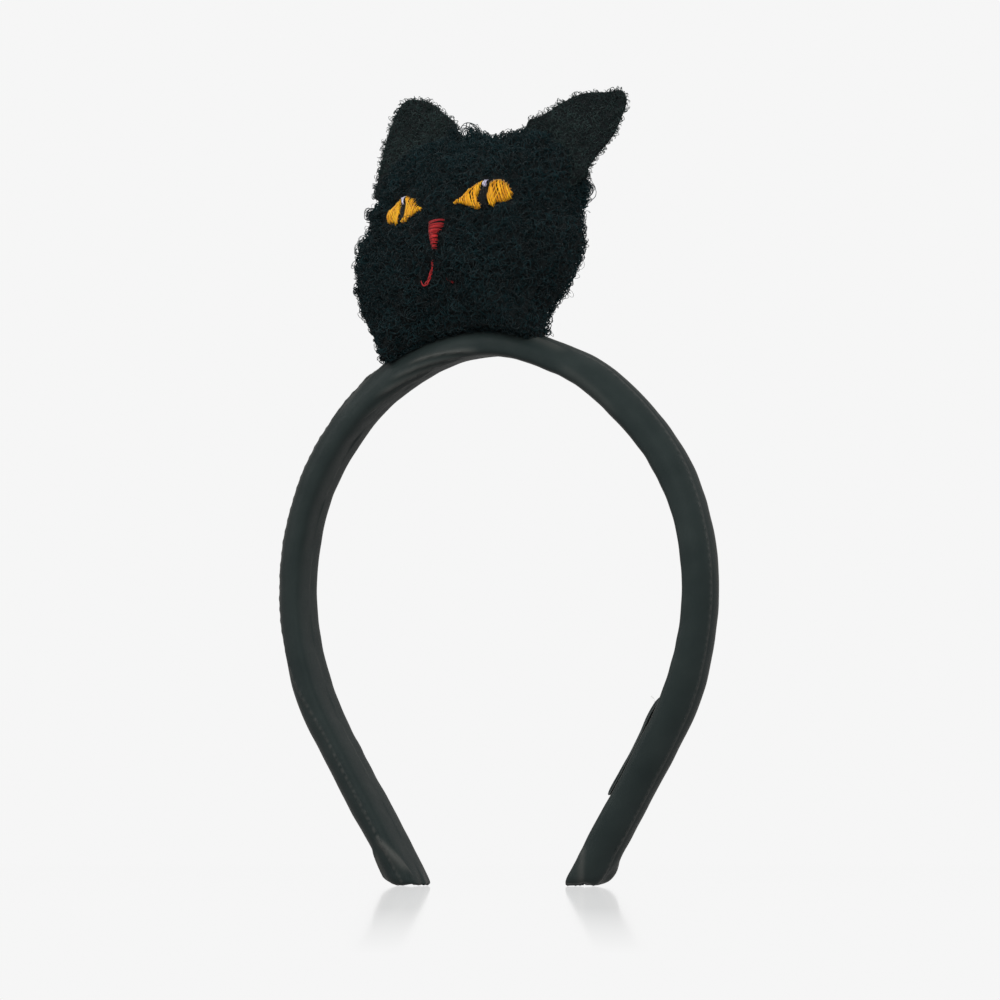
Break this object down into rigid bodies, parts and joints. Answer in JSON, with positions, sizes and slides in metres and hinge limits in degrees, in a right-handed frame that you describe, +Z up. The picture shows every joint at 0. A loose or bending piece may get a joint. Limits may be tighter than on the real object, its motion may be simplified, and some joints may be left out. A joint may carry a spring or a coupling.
{
  "type": "animal ears headband",
  "caption": "Padded satin headband with sprung arms, carrying a stuffed curly cat head with ears and an embroidered face on its crown.",
  "frame": {"origin": "on the standing surface, midway between the two feet across X, under the middle of the whole object's depth", "axes": "+Z up through the crown, +X across the band towards the arm with the label, -Y the way the cat looks"},
  "size_m": [0.1357, 0.0458, 0.223],
  "materials": {
    "satin": "black satin cover with a soft sheen",
    "curly_pile": "black curly pile fabric",
    "core_plastic": "plain springy plastic strip",
    "foam": "open cell foam",
    "filling": "fibre filling",
    "seam_thread": "black sewing thread",
    "label": "black woven tape",
    "pale_thread": "off-white sewing thread",
    "glue": "set hot glue",
    "amber_thread": "amber satin stitch",
    "black_thread": "black satin stitch",
    "glint_thread": "pale lilac stitch",
    "red_thread": "red satin stitch"
  },
  "bodies": {
    "crown": {"core_crown": "core_plastic", "foam_crown": "foam", "cover_crown": "satin", "glue_strip": "glue", "face_panel": "curly_pile", "back_panel": "curly_pile", "stuffing": "filling", "left_ear_front": "curly_pile", "left_ear_back": "curly_pile", "right_ear_front": "curly_pile", "right_ear_back": "curly_pile", "left_eye_iris": "amber_thread", "left_eye_pupil": "black_thread", "left_eye_glint": "glint_thread", "right_eye_iris": "amber_thread", "right_eye_pupil": "black_thread", "right_eye_glint": "glint_thread", "nose_patch": "red_thread", "mouth_line": "red_thread"},
    "left_arm": {"core_left_arm": "core_plastic", "foam_left_arm": "foam", "cover_left_arm": "satin", "seam_thread_left": "seam_thread"},
    "right_arm": {"core_right_arm": "core_plastic", "foam_right_arm": "foam", "cover_right_arm": "satin", "seam_thread_right": "seam_thread", "care_label": "label", "label_thread": "pale_thread"}
  },
  "joints": [
    {"name": "left_flex", "type": "hinge", "parent": "crown", "child": "left_arm", "pos_m": [-0.0446, -0.00874, 0.13878], "axis": [0, 1, 0], "range_deg": [-5, 12], "stiffness_Nm_per_rad": 1.2},
    {"name": "right_flex", "type": "hinge", "parent": "crown", "child": "right_arm", "pos_m": [0.0446, -0.00874, 0.13878], "axis": [0, -1, 0], "range_deg": [-5, 12], "stiffness_Nm_per_rad": 1.2}
  ]
}
